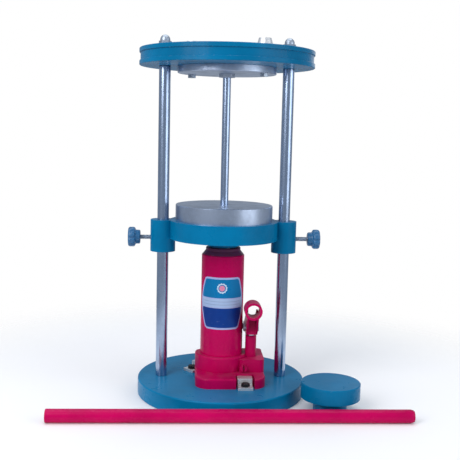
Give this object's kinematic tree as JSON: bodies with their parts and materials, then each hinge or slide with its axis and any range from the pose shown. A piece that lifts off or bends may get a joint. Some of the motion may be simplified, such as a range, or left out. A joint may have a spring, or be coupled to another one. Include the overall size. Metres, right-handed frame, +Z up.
{
  "type": "two-column hydraulic bench press",
  "caption": "Round-plate bench press: bottle jack lifts a sliding platen between bright pillars; pump handle and loose pusher disc lie beside it.",
  "frame": {"origin": "centre of the underside of the round base plate, on the press axis", "axes": "+Z up along the pillars, +X from the left pillar to the right pillar, -Y towards the operator"},
  "size_m": [0.594, 0.3215, 0.6251],
  "materials": {
    "blue_paint": "semi-gloss",
    "red_paint": "gloss",
    "bright_steel": "polished",
    "machined_steel": "turned",
    "zinc_steel": "zinc plated",
    "black_steel": "black oxide",
    "knob_plastic": "moulded",
    "pad_brass": "turned",
    "black_rubber": "matt",
    "label_print": "printed film"
  },
  "bodies": {
    "frame": {"base_plate": "blue_paint", "top_plate": "blue_paint", "base_pillar_screws": "black_steel", "pillar_left": "bright_steel", "pillar_right": "bright_steel", "pillar_washers": "zinc_steel", "pillar_cap_nuts": "zinc_steel", "upper_pressure_plate": "machined_steel", "plate_bolts": "zinc_steel", "plate_tie_nuts": "zinc_steel", "rod_guide_bush": "machined_steel", "jack_base": "red_paint", "jack_tank": "red_paint", "tank_nut": "red_paint", "jack_cylinder": "machined_steel", "oil_filler_plug": "black_rubber", "jack_label": "label_print", "pump_barrel": "red_paint", "fulcrum_post": "red_paint", "fulcrum_pin": "zinc_steel", "fulcrum_cotter": "zinc_steel", "valve_balls": "bright_steel", "hold_down_clips": "zinc_steel", "clip_bolts": "black_steel"},
    "ram": {"jack_ram": "bright_steel", "ram_seal": "black_rubber", "ram_saddle": "machined_steel"},
    "platen_carriage": {"platen": "blue_paint", "lower_pressure_disc": "machined_steel", "centre_rod": "bright_steel"},
    "pad_left": {"clamp_pad_left": "pad_brass"},
    "knob_left": {"clamp_screw_left": "zinc_steel", "clamp_knob_left": "knob_plastic"},
    "pad_right": {"clamp_pad_right": "pad_brass"},
    "knob_right": {"clamp_screw_right": "zinc_steel", "clamp_knob_right": "knob_plastic"},
    "lever": {"handle_socket": "red_paint"},
    "plunger": {"pump_plunger": "bright_steel", "plunger_pin": "zinc_steel", "plunger_cotter": "zinc_steel"},
    "release_valve": {"release_valve": "red_paint"},
    "handle": {"pump_handle": "red_paint"},
    "pusher": {"loose_pusher": "blue_paint"}
  },
  "joints": [
    {"name": "platen_lift", "type": "slide", "parent": "frame", "child": "platen_carriage", "axis": [0, 0, 1], "range_m": [0, 0.15]},
    {"name": "ram_lift", "type": "slide", "parent": "frame", "child": "ram", "axis": [0, 0, 1], "range_m": [0, 0.15]},
    {"name": "pad_left_slide", "type": "slide", "parent": "platen_carriage", "child": "pad_left", "axis": [-1, 0, 0], "range_m": [0, 0.00125]},
    {"name": "knob_left_turn", "type": "hinge", "parent": "pad_left", "child": "knob_left", "pos_m": [-0.12, 0, 0.2775], "axis": [-1, 0, 0], "range_deg": [0, 360]},
    {"name": "pad_right_slide", "type": "slide", "parent": "platen_carriage", "child": "pad_right", "axis": [1, 0, 0], "range_m": [0, 0.00125]},
    {"name": "knob_right_turn", "type": "hinge", "parent": "pad_right", "child": "knob_right", "pos_m": [0.12, 0, 0.2775], "axis": [1, 0, 0], "range_deg": [0, 360]},
    {"name": "lever_pump", "type": "hinge", "parent": "frame", "child": "lever", "pos_m": [0.052, 0.0208, 0.1146], "axis": [-1, 0, 0], "range_deg": [0, 21]},
    {"name": "plunger_stroke", "type": "slide", "parent": "frame", "child": "plunger", "axis": [0, 0, 1], "range_m": [0, 0.0135]},
    {"name": "release_turn", "type": "hinge", "parent": "frame", "child": "release_valve", "pos_m": [0.038, -0.04, 0.054], "axis": [0, -1, 0], "range_deg": [0, 360]},
    {"name": "handle_pull_away", "type": "slide", "parent": "frame", "child": "handle", "axis": [0, -1, 0], "range_m": [0, 0.3]},
    {"name": "pusher_lift_off", "type": "slide", "parent": "frame", "child": "pusher", "axis": [0, 0, 1], "range_m": [0, 0.3]}
  ],
  "couplings": [
    {"joint": "ram_lift", "follows": "platen_lift", "ratio": 1},
    {"joint": "knob_left_turn", "follows": "pad_left_slide", "rad_per_m": 5026.5},
    {"joint": "knob_right_turn", "follows": "pad_right_slide", "rad_per_m": 5026.5},
    {"joint": "plunger_stroke", "follows": "lever_pump", "m_per_rad": 0.036575}
  ]
}
